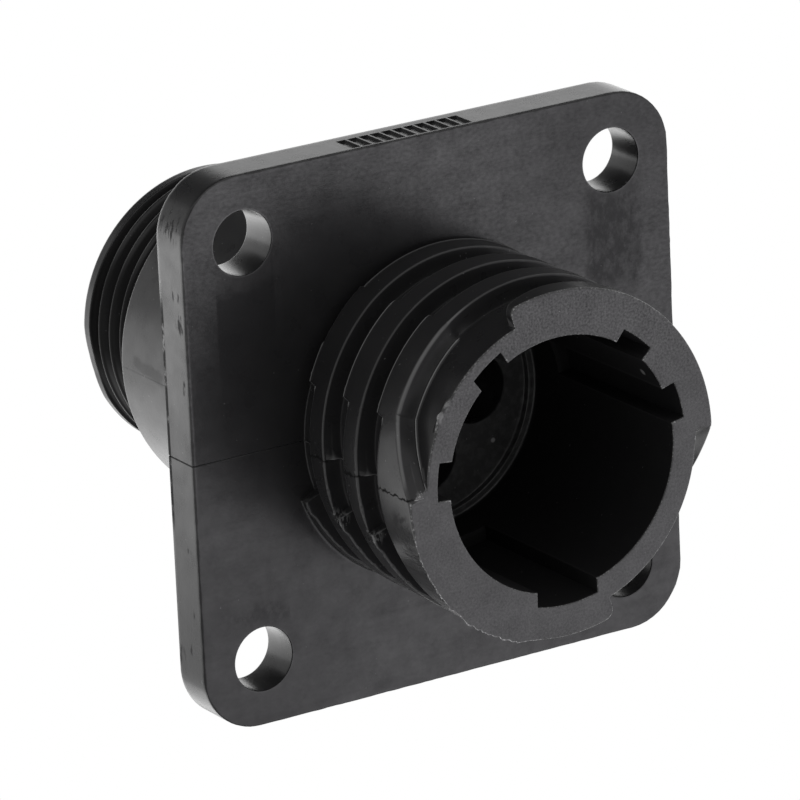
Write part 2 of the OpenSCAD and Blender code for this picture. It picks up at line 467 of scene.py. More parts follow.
def thread_rows():
    """The barrel's outside from the rim to the flange, with the rim's own edge."""
    turns = [angles - BLUNT - 180 * i for i in range(RIDGES)]
    present = [(t < 0) | ((t == 0) & ~past_end) for t in turns]
    sections = [ridge_section(t, p) for t, p in zip(turns, present)]
    topmost = np.argmax(np.stack(present), axis=0)
    top_edge = np.choose(topmost, [front_edge(t) for t in turns])
    past_blunt = (angles - BLUNT) % 180
    room = np.maximum(RIM_Z - top_edge - FOOT[0][1], 0) * np.clip(past_blunt / 2, 0, 1)
    edge, band = np.minimum(room / 2, RIM_EDGE), np.minimum(room, BAND)
    flash = np.where(band == BAND, FLASH_H * between(*FLASHED) * (0.3 + ragged_rim), 0)
    radius = np.concatenate([s[0] for s in sections])
    height = np.concatenate([s[1] for s in sections])
    radius, height = cut_rows(radius, height, FLANGE_T + FLANGE_FILLET, RIM_Z - band)
    radius = radius + on_line * np.where(radius > MID_R, -LINE_DEPTH * ~on_left_line, BEAD_H)
    rows = [ring(ROOT_R - edge - 0.04, RIM_Z)]
    for t in QUARTER:
        inwards = edge * (1 - np.sin(t)) - flash * np.sin(t)
        rows.append(ring(ROOT_R - inwards, RIM_Z - edge * (1 - np.cos(t))))
    for share, rise in ((0.2, 0.6), (0.45, 0), (0.55, 0)):
        rows.append(ring(ROOT_R + flash * rise, RIM_Z - edge - share * (band - edge)))
    return rows + [ring(r, z) for r, z in zip(radius, height)], radius[-1]


thread, barrel_foot = thread_rows()
print("thread rows:", len(thread))

# %% [markdown]
# ## The flange
#
# The flange is screwed to a panel. Seen from the axis, its outline is a square with round
# corners. A bevelled cube would give that too, but not as part of the same skin. A rounded edge
# of it is a stack of such outlines, each a little smaller, because an inset of this shape is the
# same shape with smaller half width and corner. The front edge is uneven, as if scraped.

# %% Rows of the flange
FLANGE_ROUND, FLANGE_REAR_ROUND = 0.07, 0.03
FACE_INSET = 0.17
flange_edge = FLANGE_ROUND * (1 + 0.8 * (uneven(0.9) - 0.5))


def flange_outline(inset):
    """Radius per column of the rounded square, drawn in by an inset.

    On a straight side it is the half width over the larger of cosine and sine. On a corner it is
    where the ray leaves the corner's circle.
    """
    half, corner = FLANGE_HALF - inset, CORNER_R - inset
    larger = np.maximum(np.abs(turn_x), np.abs(turn_y))
    smaller = np.minimum(np.abs(turn_x), np.abs(turn_y))
    straight = half / larger
    centre = half - corner
    along = centre * (larger + smaller)
    curve = along + np.sqrt(np.maximum(along ** 2 - 2 * centre ** 2 + corner ** 2, 0))
    return np.where(straight * smaller <= centre, straight, curve)


def flange_rows():
    """From the barrel's foot over the front face, the edge and the rear face to the body."""
    inner, rim = barrel_foot + FLANGE_FILLET, flange_outline(FACE_INSET)
    rows = arc(inner, FLANGE_T + FLANGE_FILLET, FLANGE_FILLET, 180, 270)[1:]
    rows += [ring(inner + share * (rim - inner), FLANGE_T) for share in (0.01, 0.3, 0.7, 1)]
    for t in QUARTER:
        inset = flange_edge * (1 - np.sin(t))
        rows.append(ring(flange_outline(inset), FLANGE_T - flange_edge * (1 - np.cos(t))))
    rows += [ring(flange_outline(0), z) for z in (FLANGE_T - 0.2, 1.4, 1.0, 0.6, 0.2)]
    for t in QUARTER[::-1]:
        inset = FLANGE_REAR_ROUND * (1 - np.sin(t))
        rows.append(ring(flange_outline(inset), FLANGE_REAR_ROUND * (1 - np.cos(t))))
    inner = BODY_R + FLANGE_FILLET
    rows += [ring(inner + share * (rim - inner), 0) for share in (1, 0.7, 0.3, 0.01)]
    return rows + arc(inner, -FLANGE_FILLET, FLANGE_FILLET, 90, 180)


flange = flange_rows()
print("flange rows:", len(flange))

# %% [markdown]
# ## The wiring end
#
# Behind the flange are the plain body, a shoulder and the tail, onto which a cable clamp can be
# screwed. The tail's fine thread is made like the coupling thread, with rows that climb with its
# single ridge. At its start the ridge grows out of the lip over a few degrees.

# %% Rows of the tail's thread
TAIL_PITCH, TAIL_TURNS = 0.907, 7
TAIL_FIRST_Z, TAIL_START, TAIL_GROW = -16.18, 270, 20
TAIL_SECTION = [(0.49, 0), (0.41, 0.08), (0.3, 0.42), (0.22, 0.73), (0.14, 0.93), (0.05, 1)]


def tail_thread_rows():
    """The fine thread between the shoulder and the lip, from the top turn down.

    A row lies a pitch times the turns climbed above the start, and its radius is the root's plus
    the section's rise times how far the ridge has grown.
    """
    section = TAIL_SECTION + [(-off, rise) for off, rise in TAIL_SECTION[::-1]]
    radius, height = [], []
    for turn in range(TAIL_TURNS - 1, -2, -1):
        climbed = (angles - TAIL_START) / 360 + turn
        grown = np.clip(climbed * 360 / TAIL_GROW, 0, 1)
        for off, rise in section:
            radius.append(TAIL_ROOT_R + (TAIL_R - TAIL_ROOT_R) * rise * grown)
            height.append(TAIL_FIRST_Z + TAIL_PITCH * (climbed + off))
    radius, height = cut_rows(np.stack(radius), np.stack(height), LIP_Z, BODY_END)
    return [ring(r, z) for r, z in zip(radius, height)]


tail_thread = tail_thread_rows()
print("tail thread rows:", len(tail_thread))

# %% Rows of the wiring end
BODY_EDGE, TAIL_EDGE, LIP_EDGE, RECESS_FILLET = 0.07, 0.12, 0.06, 0.12
LIP_WEAR, LIP_WORN = 0.1, (183, 203, 12)


def wiring_rows():
    """Body, shoulder, tail, lip and recess, to the middle of the recess's floor."""
    rows = [ring(BODY_R, z) for z in (-0.2, -3, -6, -9, BODY_END + BODY_EDGE + 0.06)]
    rows += arc(BODY_R - BODY_EDGE, BODY_END + BODY_EDGE, BODY_EDGE, 0, -90)
    rows += [ring(BODY_R - BODY_EDGE - 0.05, BODY_END)]
    rows += tail_thread
    lip = LIP_R - LIP_WEAR * between(*LIP_WORN)
    rows += [ring(lip - TAIL_EDGE - 0.04, LIP_Z)]
    rows += arc(lip - LIP_EDGE, LIP_Z - LIP_EDGE, LIP_EDGE, 90, 0)
    rows += [ring(lip, LIP_Z - 0.1), ring(lip, TAIL_END + TAIL_EDGE + 0.05)]
    rows += arc(lip - TAIL_EDGE, TAIL_END + TAIL_EDGE, TAIL_EDGE, 0, -90)
    rows += [ring(lip - TAIL_EDGE - 0.05, TAIL_END), ring(RECESS_R + TAIL_EDGE + 0.05, TAIL_END)]
    rows += arc(RECESS_R + TAIL_EDGE, TAIL_END + TAIL_EDGE, TAIL_EDGE, -90, -180)
    rows += [ring(RECESS_R, z) for z in (TAIL_END + 0.2, -15, -13, RECESS_Z - 0.2)]
    rows += arc(RECESS_R - RECESS_FILLET, RECESS_Z - RECESS_FILLET, RECESS_FILLET, 0, 90)
    return rows + [ring(r, RECESS_Z) for r in FLAT_RADII[::-1]]


wiring = wiring_rows()
print("wiring end rows:", len(wiring))

# %% [markdown]
# ## From rows to a closed mesh
#
# All rows together are one grid. The two halves of the mould leave a fine line on the flange, so
# there the column on the parting line sinks a little. An attribute marks that column for the
# material: 1 where the line is sunk, -1 on the bead in the grooves, and 0 elsewhere. Where rows
# or columns meet in a point, the doubled points are merged, and what is left is a closed skin.

# %% Helpers for meshes
MM = 0.001


def grid_mesh(name, grid):
    """Mesh with a point for each place of the grid and a face between each four neighbours."""
    count = grid.shape[0] * grid.shape[1]
    index = np.arange(count).reshape(grid.shape[:2])
    faces = np.stack([index[:-1, :-1], index[:-1, 1:], index[1:, 1:], index[1:, :-1]], -1)
    mesh = bpy.data.meshes.new(name)
    mesh.from_pydata(grid.reshape(-1, 3) * MM, [], faces.reshape(-1, 4))
    return mesh


def close_mesh(mesh):
    """Merges doubled points, turns all faces outwards and counts the open edges."""
    shape = bmesh.new()
    shape.from_mesh(mesh)
    bmesh.ops.remove_doubles(shape, verts=shape.verts, dist=1e-6)
    bmesh.ops.recalc_face_normals(shape, faces=shape.faces)
    open_edges = sum(not edge.is_manifold for edge in shape.edges)
    shape.to_mesh(mesh)
    shape.free()
    return open_edges


def add_values(mesh, name, values):
    """Keeps one number per point as an attribute that a material can read."""
    mesh.attributes.new(name, "FLOAT", "POINT").data.foreach_set("value", values)


print("one unit of the grid is", MM, "m")

# %% Mesh of the moulding
SEAM_DEPTH = 0.03
grid = np.stack(socket + thread + flange + wiring)
row = np.arange(len(grid))[:, None]
flange_at = len(socket) + len(thread) + np.arange(len(flange))
before_flange = row < flange_at[0]
in_groove = before_flange & (np.hypot(grid[..., 0], grid[..., 2]) < MID_R)
seam = np.where(in_groove, -1.0, ~(before_flange & on_left_line))
seam = seam * on_line * (row >= len(socket)) * (grid[..., 1] > 0.01 - RIM_Z)

line_on_flange = np.ix_(flange_at, on_line)
sunk = grid[line_on_flange]
sunk[..., [0, 2]] *= 1 - SEAM_DEPTH / FLANGE_HALF
sunk[..., 1] = (sunk[..., 1] + FLANGE_T / 2) * (1 - 2 * SEAM_DEPTH / FLANGE_T) - FLANGE_T / 2
grid[line_on_flange] = sunk

skin = grid_mesh("housing_skin", grid)
add_values(skin, "seam", seam.ravel())
print("faces:", len(skin.polygons), "open edges:", close_mesh(skin))
housing = bpy.data.objects.new("moulded_housing", skin)
bpy.context.scene.collection.objects.link(housing)

# %% [markdown]
# ## Holes
#
# The four screw holes and the four contact cavities go through flat faces, so a boolean cuts
# them cleanly. Each cutter is a turned profile that flares at its ends, which leaves a small
# round on the mouth of the hole. A row of plain bars on the flange's upper edge is what is left
# between shallow scallops, cut by the same kind of cutter lying in the edge.

# %% Cutters
HOLE_FLARE, CAVITY_FLARE = 0.04, 0.1
MOUTH = [(1.3, 0.9), (0.45, -0.1), (0.12, -0.8), (0, -1.6)]
BARS_FROM, BARS_TO, BAR_PITCH, BAR_LOW, BAR_HIGH = -3.3, 2.7, 0.55, 0.5, 1.78
SCALLOP_R, SCALLOP_RISE = 0.3, 0.19


def turned(x, y, profile, count=64):
    """Mesh of a closed cutter: radii and heights turned about an axis through (x, y)."""
    radius, height = np.array(profile).T
    t = np.linspace(0, 2 * np.pi, count + 1)
    return grid_mesh("cutter", np.stack([
        x + np.outer(radius, np.cos(t)),
        np.repeat(-height[:, None], count + 1, axis=1),
        y + np.outer(radius, np.sin(t)),
    ], -1))


def flared(radius, low, high, flare):
    """Profile of a hole between two faces, wider by the flare at both of them."""
    upper = [(radius + flare * wide, high + flare * out) for wide, out in MOUTH]
    lower = [(radius + flare * wide, low - flare * out) for wide, out in MOUTH[::-1]]
    return [(0, upper[0][1])] + upper + lower + [(0, lower[-1][1])]


screw = flared(HOLE_R, 0, FLANGE_T, HOLE_FLARE)
cavity = flared(CAVITY_R, RECESS_Z, FLOOR_Z, CAVITY_FLARE)
scallop = [(0, BAR_HIGH), (SCALLOP_R, BAR_HIGH), (SCALLOP_R, BAR_LOW), (0, BAR_LOW)]
cutters = [turned(x, y, screw) for x in (-HOLE_AT, HOLE_AT) for y in (-HOLE_AT, HOLE_AT)]
for x, y in ((1, 0), (0, 1), (-1, 0), (0, -1)):
    cutters.append(turned(x * CAVITY_CIRCLE_R, y * CAVITY_CIRCLE_R, cavity))
for x in np.arange(BARS_FROM, BARS_TO, BAR_PITCH):
    cutters.append(turned(x, FLANGE_HALF + SCALLOP_RISE, scallop, 32))
print("cutters:", len(cutters))

# %% Cut the holes
SHARP_ANGLE = 34
tools = []
for mesh in cutters:
    close_mesh(mesh)
    tool = bpy.data.objects.new("cutter", mesh)
    bpy.context.scene.collection.objects.link(tool)
    tools.append(tool)
    cut = housing.modifiers.new("hole", "BOOLEAN")
    cut.operation, cut.solver, cut.object = "DIFFERENCE", "MANIFOLD", tool

cut_housing = housing.evaluated_get(bpy.context.evaluated_depsgraph_get())
drilled = bpy.data.meshes.new_from_object(cut_housing)
housing.modifiers.clear()
housing.data = drilled
for tool, mesh in zip(tools, cutters):
    bpy.data.objects.remove(tool)
    bpy.data.meshes.remove(mesh)

drilled.polygons.foreach_set("use_smooth", np.ones(len(drilled.polygons), bool))
drilled.set_sharp_from_angle(angle=np.radians(SHARP_ANGLE))
print("drilled faces:", len(drilled.polygons))

# %% [markdown]
# Edges of a moulding are where light catches and where it gets scuffed first. How sharply the
# skin bends outwards is worked out once per point and kept as an attribute for the material. On
# the large flat faces it is 0, so that nothing spreads over them from the mouth of a hole.


# %% Bend of the skin
def outward_bend(mesh):
    """Angle in radians between the faces at a point's edges, halved and summed, per point.

    An edge counts as positive where its second face lies below the first one's plane.
    """
    face_sizes, loop_edges = np.empty(len(mesh.polygons), int), np.empty(len(mesh.loops), int)
    mesh.polygons.foreach_get("loop_total", face_sizes)
    mesh.loops.foreach_get("edge_index", loop_edges)
    normals, centres = np.empty(len(face_sizes) * 3), np.empty(len(face_sizes) * 3)
    mesh.polygons.foreach_get("normal", normals)
    mesh.polygons.foreach_get("center", centres)
    ends = np.empty(len(mesh.edges) * 2, int)
    mesh.edges.foreach_get("vertices", ends)
    loop_faces = np.repeat(np.arange(len(face_sizes)), face_sizes)
    pairs = loop_faces[np.argsort(loop_edges, kind="stable")].reshape(-1, 2)
    normal, centre = normals.reshape(-1, 3)[pairs], centres.reshape(-1, 3)[pairs]
    turn = np.arccos(np.clip((normal[:, 0] * normal[:, 1]).sum(1), -1, 1))
    below = ((centre[:, 1] - centre[:, 0]) * normal[:, 0]).sum(1) < 0
    turn = np.where(below, turn, -turn) / 2
    return np.bincount(ends, np.repeat(turn, 2), len(mesh.vertices))


FLAT_AT = [-FLANGE_T, 0, -FLOOR_Z, -RECESS_Z]
bend = outward_bend(drilled)
points = np.empty(len(bend) * 3)
drilled.vertices.foreach_get("co", points)
across, along, up = points.reshape(-1, 3).T / MM
on_plane = np.isclose(np.subtract.outer(along, FLAT_AT), 0, atol=1e-4).any(1)
on_side = np.isclose(np.maximum(np.abs(across), np.abs(up)), FLANGE_HALF, atol=1e-4)
bend[on_plane | on_side] = 0
add_values(drilled, "bend", bend)
print("points on outward edges:", int((bend > 0.3).sum()), "of", len(bend))

# %% [markdown]
# ## Shader maths in Python
#
# Materials are easier to read as formulas. A `Value` wraps a socket, and its operators add Math
# nodes. Every other node comes from the one method `node`.

# %% Helpers for materials
class Value:
    """An output socket that can be used in expressions."""

    def __init__(self, tree, socket):
        self.tree, self.socket = tree, socket

    def math(self, operation, *values):
        """A Math node on these values."""
        return self.tree.node("ShaderNodeMath", {"operation": operation}, dict(enumerate(values)))

    def __add__(self, other):
        return self.math("ADD", self, other)

    def __sub__(self, other):
        return self.math("SUBTRACT", self, other)

    def __rsub__(self, other):
        return self.math("SUBTRACT", other, self)

    def __mul__(self, other):
        return self.math("MULTIPLY", self, other)

    def __neg__(self):
        return 0 - self

    def __abs__(self):
        return self.math("ABSOLUTE", self)

    def smooth(self, low, high):
        """0 below low, 1 above high, and an S curve between."""
        return self.tree.node("ShaderNodeMapRange", {"interpolation_type": "SMOOTHSTEP"},
                              {"Value": self, "From Min": low, "From Max": high})

    def within(self, low, high, soft):
        """1 between low and high, 0 outside, with edges this soft."""
        return self.smooth(low - soft, low + soft) * (1 - self.smooth(high - soft, high + soft))

    __radd__, __rmul__ = __add__, __mul__


class Tree:
    """The nodes of a material or of the world."""

    def __init__(self, owner):
        owner.use_nodes = True
        self.nodes, self.links = owner.node_tree.nodes, owner.node_tree.links
        self.nodes.clear()

    def node(self, kind, settings=None, inputs=None, out=0):
        """Adds a node, sets it up, fills or links its sockets and returns one output."""
        made = self.nodes.new(kind)
        for name, value in (settings or {}).items():
            setattr(made, name, value)
        for name, value in (inputs or {}).items():
            if isinstance(value, Value):
                self.links.new(value.socket, made.inputs[name])
            else:
                made.inputs[name].default_value = value
        return Value(self, made.outputs[out] if made.outputs else None)


print("reflected operators:", [name for name in vars(Value) if name.startswith("__r")])

# %% [markdown]
# ## Black moulded plastic
#
# The plastic is nearly black. What makes it look grey in the light is its sheen, so the colour
# stays dark, and the finish is told apart by how much sheen each place has. The specular level
# could carry that, but it has to stay the same all over to survive an export. So the base has
# next to no specular, and a coat on top carries the sheen with its weight.
#
# Patterns are read from Object coordinates in millimetres. They stay on the part in any view.

# %% Places and patterns
black = bpy.data.materials.new("black_moulded_plastic")
tree = Tree(black)
place = tree.node("ShaderNodeTexCoord", out="Object")
in_mm = tree.node("ShaderNodeVectorMath", {"operation": "SCALE"}, {0: place, "Scale": 1 / MM})
split = tree.node("ShaderNodeSeparateXYZ", {}, {0: in_mm}).socket.node
x, y, z = (Value(tree, output) for output in split.outputs)
left, height, below = -x, -y, -z


def attribute(name):
    """The number that the mesh keeps for each point under this name."""
    return tree.node("ShaderNodeAttribute", {"attribute_name": name}, out="Fac")


def noise(scale, detail=3, stretch=(1, 1, 1), rough=0.5):
    """Noise with so many features per millimetre, which a stretch below 1 draws out."""
    vector = tree.node("ShaderNodeVectorMath", {"operation": "MULTIPLY"}, {0: in_mm, 1: stretch})
    inputs = {"Vector": vector, "Scale": scale, "Detail": detail, "Roughness": rough}
    return tree.node("ShaderNodeTexNoise", {}, inputs)


def distance(a, b):
    """Distance from the point where both numbers are 0: the root of the sum of their squares."""
    squares = a * a + b * b
    return squares.math("SQRT", squares)


def spot(at, size):
    """1 at a place, falling to 0 at a distance."""
    far = tree.node("ShaderNodeVectorMath", {"operation": "DISTANCE"}, {0: in_mm, 1: at}, out="Value")
    return 1 - far.smooth(size * 0.4, size)


def spots(places):
    """Sum of spots, from their places and sizes."""
    return sum(spot(at, size) for at, size in places)


def weighted(*pairs):
    """Sum of masks, each times its share."""
    return sum(share * mask for share, mask in pairs)


mottle = noise(0.9, 4)
blotch = noise(3.2, 4)
grain = noise(10, 2)
fine = noise(7, 3, (0.6, 1, 1))
drawn_out = noise(1.2, 3, (0.2, 1, 1.6))
streaks = noise(2.2, 8, (1, 1, 0.6), 0.75)
scratches = noise(5, 3, (1, 1, 0.25))
tears = noise(9, 2, (1, 1, 0.35))
print("nodes for places and patterns:", len(tree.nodes))

# %% [markdown]
# Each face of the moulding came off its own part of the mould and reflects in its own way. A mask
# is 1 on such a face and 0 elsewhere. Painting masks by hand would do, but a mask made from
# heights, radii and the mesh's two attributes stays sharp at any size and needs no picture.

# %% Faces and edges
outward = attribute("bend")
edge, sharp = outward.smooth(0.2, 0.9), outward.smooth(0.9, 1.5)
parting = attribute("seam")
line, bead = parting.smooth(0, 1), (-parting).smooth(0, 1)
radius = distance(x, z)

rim = height.smooth(RIM_Z - 0.12, RIM_Z - 0.03)
barrel = height.smooth(FLANGE_T + 0.05, FLANGE_T + 0.15)
# Painted shade: the socket's wall is kept darker, duller and partly matt black, as if little light
# reached into it.
shaded_bore = (1 - radius.smooth(KEY_R, KEY_R + 0.05)) * height.smooth(LEDGE_Z, LEDGE_Z + 0.3) * (1 - rim)
# The socket's floor is painted paler as painted light, with blotchy marks of the mould on it.
bottom = 1 - radius.smooth(SOCKET_R, SOCKET_R + 0.1)
bottom = bottom * height.within(FLOOR_Z - 0.05, LEDGE_Z + 0.05, 0.03)
crest = radius.smooth(CREST_R - 0.3, CREST_R - 0.2) * barrel * (1 - rim)
crest_top = radius.smooth(ROOT_R + 0.5, ROOT_R + 0.6) * barrel * (1 - rim) * z.smooth(3, 5)
land = height.within(RIM_Z - LEAD / 2, RIM_Z - 0.4, 0.2) * left.smooth(2.5, 3.5) * z.smooth(0.2, 0.6)

face = height.within(FLANGE_T - 0.04, FLANGE_T + 0.04, 0.03)
side = left.smooth(FLANGE_HALF - 0.1, FLANGE_HALF - 0.03)
hole = 1 - distance(abs(x) - HOLE_AT, abs(z) - HOLE_AT).smooth(HOLE_R + 0.02, HOLE_R + 0.1)
left_hole, right_hole = hole * (1 - x.smooth(-3, 3)), hole * x.smooth(-3, 3)
rear = height.within(-0.1, 0.3, 0.05) * radius.smooth(9, 9.5)
shoulder = height.within(BODY_END - 0.1, BODY_END + 0.3, 0.05)
matt_edge = edge * (rear * (1 - z.smooth(7.5, 9.5)) + shoulder)

body = height.within(BODY_END, -0.1, 0.05)
tail = height.within(LIP_Z - 0.1, BODY_END, 0.05)
tips = tail * radius.smooth(TAIL_R - 0.14, TAIL_R - 0.03)
flank = tail - tips
lip_wall = height.within(LIP_Z - 0.1, LIP_Z + 0.1, 0.03) * (1 - radius.smooth(LIP_R - 0.1, LIP_R))
tail_lip = height.within(TAIL_END, LIP_Z, 0.05) * radius.smooth(LIP_R - 0.2, LIP_R - 0.15)
tail_low, tail_high = 1 - z.smooth(-2.4, -0.2), z.smooth(2.5, 4.5)
print("nodes with faces and edges:", len(tree.nodes))

# %% [markdown]
# The real moulding shows how it was made and handled. Plastic that flowed past the pins of the
# screw holes is duller behind them, in wakes with wavy borders. The flange's left side has scuffs
# and a frayed rear edge. The thread is torn in two places beside the parting line and worn next
# to it, and the line itself is a crack on the crests. Each mark is a range of places or a spot,
# broken up by a noise, which is quicker to place and to move than a painted picture.

# %% Marks of the mould
CRACK_HALF = 0.05
FLASH = [((-5.75, -11.4, 3.5), 0.8)]
TORN = [((-6.94, -5.0, -2.6), 0.6), ((-6.95, -7.9, -2.6), 0.6)]
wavy_x, wavy_z = x + 0.9 * (blotch - 0.5), z + 1.5 * (mottle - 0.5)
behind_left = x.within(-HOLE_AT - HOLE_R, -HOLE_AT + HOLE_R, 0.05)
left_wake = behind_left * wavy_z.smooth(1.0, 5.0) * (1 - wavy_z.smooth(HOLE_AT - 2.2, HOLE_AT - 1.5))
wake_line = x.within(-HOLE_AT + HOLE_R - 0.1, -HOLE_AT + HOLE_R, 0.03)
wake_line = wake_line * z.within(5.2, HOLE_AT - 0.6, 0.3)
right_wake = wavy_x.within(HOLE_AT - HOLE_R, HOLE_AT + HOLE_R, 0.45)
right_wake = right_wake * wavy_z.within(3.4, HOLE_AT - 1.2, 0.8)
right_wake = right_wake * (0.45 + 0.5 * streaks.smooth(0.38, 0.62))
low_wake = x.within(-HOLE_AT - HOLE_R, -HOLE_AT + HOLE_R, 0.08) * streaks.smooth(0.35, 0.6)
low_wake = low_wake * wavy_z.within(-HOLE_AT + 1.5, -HOLE_AT + 2.4, 0.5)
wakes = face * weighted((0.8, left_wake), (0.5, wake_line), (1, right_wake), (0.6, low_wake))

crack_z = z + 0.5 * (blotch - 0.5) + 0.15 * (grain - 0.5)
crack = crest * left.smooth(6, 6.5) * crack_z.within(-CRACK_HALF, CRACK_HALF, 0.03)
flash = spots(FLASH) * radius.smooth(6.5, 6.6) * blotch.smooth(0.42, 0.56)
flash = flash * height.smooth(RIM_Z - 0.3, RIM_Z - 0.15)
torn = spots(TORN) * tears.smooth(0.48, 0.56)
print("nodes with the mould's marks:", len(tree.nodes))

# %% Marks of handling
SCUFFS = [
    (-1.3, 7.4, 0.6), (-1.6, 6.1, 0.7), (-1.7, 3.3, 0.5), (-0.9, 10.2, 1.2),
    (-1.23, -4.0, 0.3), (-1.27, -6.75, 0.35), (-0.1, -8.75, 0.6), (-1.1, -8.3, 0.35),
]
WORN = [((-7.36, -10.6, -1.4), 1.1), ((-7.1, -11.2, -2.6), 1.0)]
CHIPS = [((3.93, -11.5, 3.91), 0.14), ((4.75, -10.5, 2.75), 0.2), ((3.42, -0.8, -2.48), 0.14)]
scuff = spots([((-FLANGE_HALF, deep, up), size) for deep, up, size in SCUFFS])
scuff = scuff * scratches.smooth(0.5, 0.62)
chips = spots(CHIPS)
worn = spots(WORN) * blotch.smooth(0.38, 0.62) * (1 - rim)
back_line = side * height.within(-0.05, 0.22, 0.03) * streaks.smooth(0.36, 0.5)
# Painted shade: a dark line along the rear edge of the flange's left side, as in a narrow gap.
shaded_rear_line = back_line * z.within(-3, 6.8, 0.6)
frayed = back_line * z.within(6.4, 10, 0.5) * grain.smooth(0.5, 0.6)
centre = FLANGE_HALF - CORNER_R
corner = distance(x + centre, z - centre).smooth(CORNER_R - 0.1, CORNER_R - 0.05)
corner = corner * left.smooth(9.2, 9.8) * z.smooth(9.2, 9.8) * height.within(-0.03, 0.08, 0.02)
smear_y, smear_z = y + 0.9 * (blotch - 0.5), z - 0.1 * (y - 9.5) + 0.7 * (mottle - 0.5)
smudge = smear_y.within(8.2, 10.7, 0.35) * smear_z.within(0.05, 0.65, 0.15)
smudge = smudge * body * left.smooth(5, 6)
print("nodes with all marks:", len(tree.nodes))

# %% [markdown]
# The sheen starts from one value with a soft mottle, and a finer pattern on the flange's face.
# Then each place makes it stronger or weaker by a share of itself, and the dull marks take it
# away last.

# %% Sheen
SHEEN, MOTTLE_SHARE, FACE_SHARE = 0.3, 0.36, 0.25
GLEAM = [((7.37, -11.0, -0.8), 0.9)]
dull = weighted(
    (1, wakes), (0.8, scuff), (0.7, worn), (0.5, smudge), (0.8, line), (0.9, shaded_bore),
    (1, matt_edge), (0.7, shaded_rear_line), (0.8, tail_lip * tail_low),
    (1, flank * (0.8 - 0.65 * tail_low)), (1, tips * (0.8 - 0.5 * tail_high)),
)
face_pattern = 0.8 * (drawn_out - 0.5) + 0.5 * (blotch - 0.5)
face_pattern = face_pattern + (0.8 + 1.4 * z.smooth(-3, 2)) * (fine - 0.5)
sheen = SHEEN + MOTTLE_SHARE * (mottle - 0.5) + FACE_SHARE * face * face_pattern
sheen = sheen + 0.28 * hole + left_hole * (0.3 * z.smooth(-5, 5) - 0.14)
sheen = sheen - 0.4 * right_hole * below.smooth(-3, 3)
sheen = sheen + rim * (0.12 + 0.6 * (grain - 0.5) * (1 + z.smooth(0, 6)))
stronger = [
    side * (1.8 * z.smooth(-12, 9) - 0.8),
    face * z.smooth(4, 11) * (0.25 - 0.5 * x.smooth(1, 8)),
    -0.3 * face * left.smooth(3, 8) * below.smooth(2, 7),
    -0.5 * crest_top,
    body * (0.2 * z.within(-2, 5, 1.2) - 0.15 * below.smooth(2.5, 4.5)),
    2 * spots(GLEAM) * (1 - rim),
    -dull.smooth(0, 1),
]
for share in stronger:
    sheen = sheen * (1 + share)
print("nodes with the sheen:", len(tree.nodes))

# %% [markdown]
# Plastic that is bent, torn or cut turns pale. So edges are a little paler than faces, most of all
# on the thread, partly as whitened plastic and partly as a painted highlight where light catches
# them, and the rim has specks of white burr. Some paleness is painted light: the socket's floor is
# painted paler, with blotchy marks of the mould on it, and the tail's flanks grow paler towards
# their lower side, as if lit from below. The socket's wall is kept darker as painted shade. The
# colour is mixed from the plastic's black and a pale grey by the sum of all these places.

# %% Colour
BLACK, PALE = (0.01, 0.0097, 0.0105, 1), (0.3, 0.3, 0.3, 1)
specks = edge * rim * noise(11, 1).smooth(0.54, 0.62)
dust = noise(6, 1).smooth(0.76, 0.8)
on_thread = height.smooth(2.4, 3.2)
# The edges' paleness is partly whitened plastic and partly a painted highlight where light catches
# them.
worn_and_lit_edge = edge * (0.03 + (0.08 * barrel + 0.14 * on_thread) * (1 - shaded_bore)) * (1 - matt_edge)
pale = weighted(
    (1, worn_and_lit_edge), (0.3, sharp * (1 - shaded_bore) * height.smooth(2.6, 3.4)), (0.25, bead),
    (0.8, specks), (0.25, dust), (0.3, flash), (0.9, chips), (0.8, corner),
    # Painted light: the tail's flanks grow paler towards their lower side, as if lit from below.
    (1, flank * (0.02 + 0.22 * tail_low)), (0.06, lip_wall), (0.35, frayed), (0.35, torn),
    # Painted light on the socket's floor, with blotches of the mould.
    (0.3, land * outward.smooth(0.2, 0.6)), (1, bottom * (0.1 + 0.08 * blotch.smooth(0.4, 0.7))),
    # Painted shade: everything but the socket's wall is made a little paler.
    (0.02, mottle), (0.02, 1 - shaded_bore),
)
colour = tree.node("ShaderNodeMix", {"data_type": "RGBA"}, {"Factor": pale, 6: BLACK, 7: PALE}, out=2)
print("nodes with the colour:", len(tree.nodes))

# %% [markdown]
# A fine grain breaks up the reflections, more so on the sandy rim and where the thread is worn.
# A few places are mixed towards a matt black, because there the base's own specular would still
# shine: the crack, which has no sheen at all, and painted shade on the line along the flange's
# rear edge, on the socket's wall and on much of the tail's thread.

# %% Finish of the moulding
SPECULAR, COAT_ROUGHNESS = 0.08, 0.26
GRAIN_STRENGTH, GRAIN_DEPTH = 0.35, 0.00002
CRACK_AND_SHADE_BLACK = (0.012, 0.012, 0.012, 1)
bumps = grain * (0.35 + 1.2 * rim) + 0.6 * mottle + 0.3 * fine + blotch * (0.4 + 1.2 * worn)
relief = {"Strength": GRAIN_STRENGTH, "Distance": GRAIN_DEPTH, "Height": bumps}
bump = tree.node("ShaderNodeBump", {}, relief)
roughness = 0.25 + weighted(
    (0.06, mottle), (0.3, scuff + worn), (0.1, rim), (0.5, matt_edge + shaded_bore), (0.2, crest_top),
)
plastic = tree.node("ShaderNodeBsdfPrincipled", {}, {
    "Base Color": colour,
    "Roughness": roughness,
    "Specular IOR Level": SPECULAR,
    "Coat Weight": sheen,
    "Coat Roughness": COAT_ROUGHNESS,
    "Normal": bump,
})
